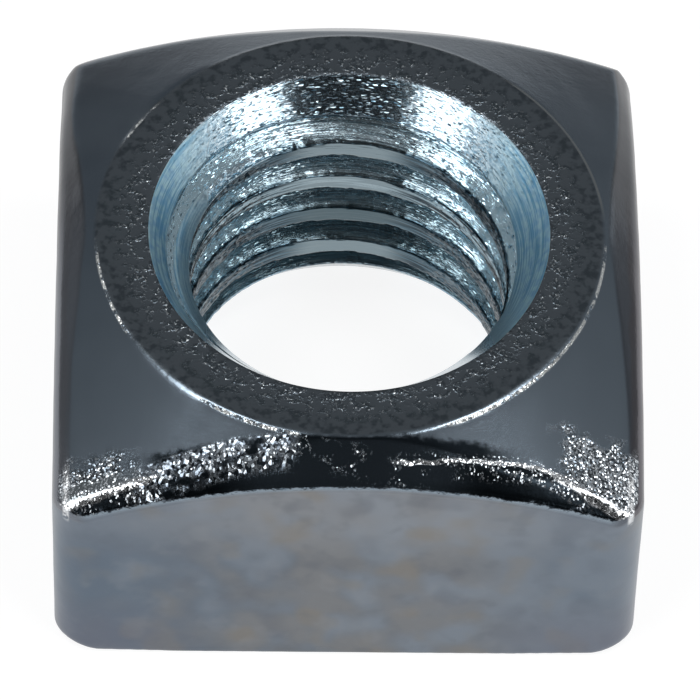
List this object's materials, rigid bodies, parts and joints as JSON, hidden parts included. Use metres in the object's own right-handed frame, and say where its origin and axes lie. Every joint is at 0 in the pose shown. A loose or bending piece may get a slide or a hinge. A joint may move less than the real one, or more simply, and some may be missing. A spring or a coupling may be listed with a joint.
{
  "type": "square nut",
  "caption": "Square steel nut with a conical crown, a flat ring on top and a threaded hole; holds on a bolt or sits captive in a channel.",
  "frame": {"origin": "centre of the bearing face, on the axis of the threaded hole", "axes": "+Z along the hole from the bearing face to the crown, X and Y square to the side flats, -Y towards the viewer"},
  "size_m": [0.0254, 0.0254, 0.0138],
  "materials": {
    "zinc_steel": "bright zinc plating with a blue cast, satin on the flats and grainy on the crown"
  },
  "bodies": {
    "root": {"nut": "zinc_steel"}
  },
  "joints": []
}
